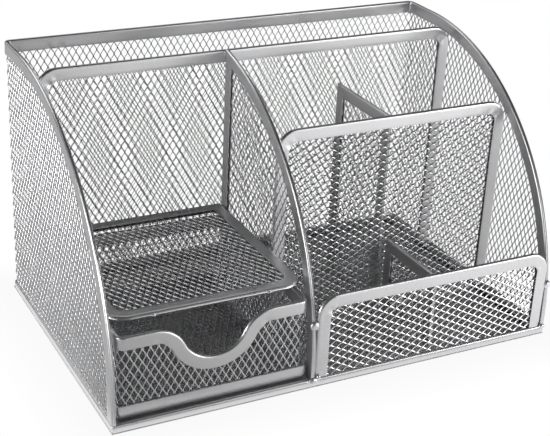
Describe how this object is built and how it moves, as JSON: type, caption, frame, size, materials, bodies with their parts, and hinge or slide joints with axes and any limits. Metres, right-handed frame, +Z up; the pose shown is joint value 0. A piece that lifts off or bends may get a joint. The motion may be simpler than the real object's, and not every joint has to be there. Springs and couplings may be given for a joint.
{
  "type": "desk organizer",
  "caption": "Expanded metal mesh desk organizer with swept sides, a rear letter slot, an open shelf over a pull-out drawer, and stepped pen bays.",
  "frame": {"origin": "middle of the underside, on the surface that the organizer stands on", "axes": "+X to the right along the width, +Y to the back, +Z up; the drawer pulls out along -Y"},
  "size_m": [0.22, 0.14, 0.127],
  "materials": {
    "silver_mesh": "satin silver paint on expanded steel sheet",
    "silver_rim": "satin silver paint on folded steel strip"
  },
  "bodies": {
    "organizer": {"base_mesh": "silver_mesh", "base_rim": "silver_rim", "left_side_mesh": "silver_mesh", "left_side_rim": "silver_rim", "right_side_mesh": "silver_mesh", "right_side_rim": "silver_rim", "back_mesh": "silver_mesh", "back_top_rim": "silver_rim", "inner_back_mesh": "silver_mesh", "inner_back_frame": "silver_rim", "divider_mesh": "silver_mesh", "divider_frame": "silver_rim", "middle_panel_mesh": "silver_mesh", "middle_panel_frame": "silver_rim", "front_panel_mesh": "silver_mesh", "front_panel_frame": "silver_rim", "rear_partition_mesh": "silver_mesh", "rear_partition_frame": "silver_rim", "front_partition_mesh": "silver_mesh", "front_partition_frame": "silver_rim", "shelf_mesh": "silver_mesh", "shelf_frame": "silver_rim"},
    "drawer": {"drawer_front_mesh": "silver_mesh", "drawer_front_rim": "silver_rim", "drawer_left_mesh": "silver_mesh", "drawer_left_rim": "silver_rim", "drawer_right_mesh": "silver_mesh", "drawer_right_rim": "silver_rim", "drawer_rear_mesh": "silver_mesh", "drawer_rear_rim": "silver_rim", "drawer_foot_rim": "silver_rim", "drawer_floor_mesh": "silver_mesh"}
  },
  "joints": [
    {"name": "drawer_slide", "type": "slide", "parent": "organizer", "child": "drawer", "axis": [0, -1, 0], "range_m": [0, 0.08]}
  ]
}
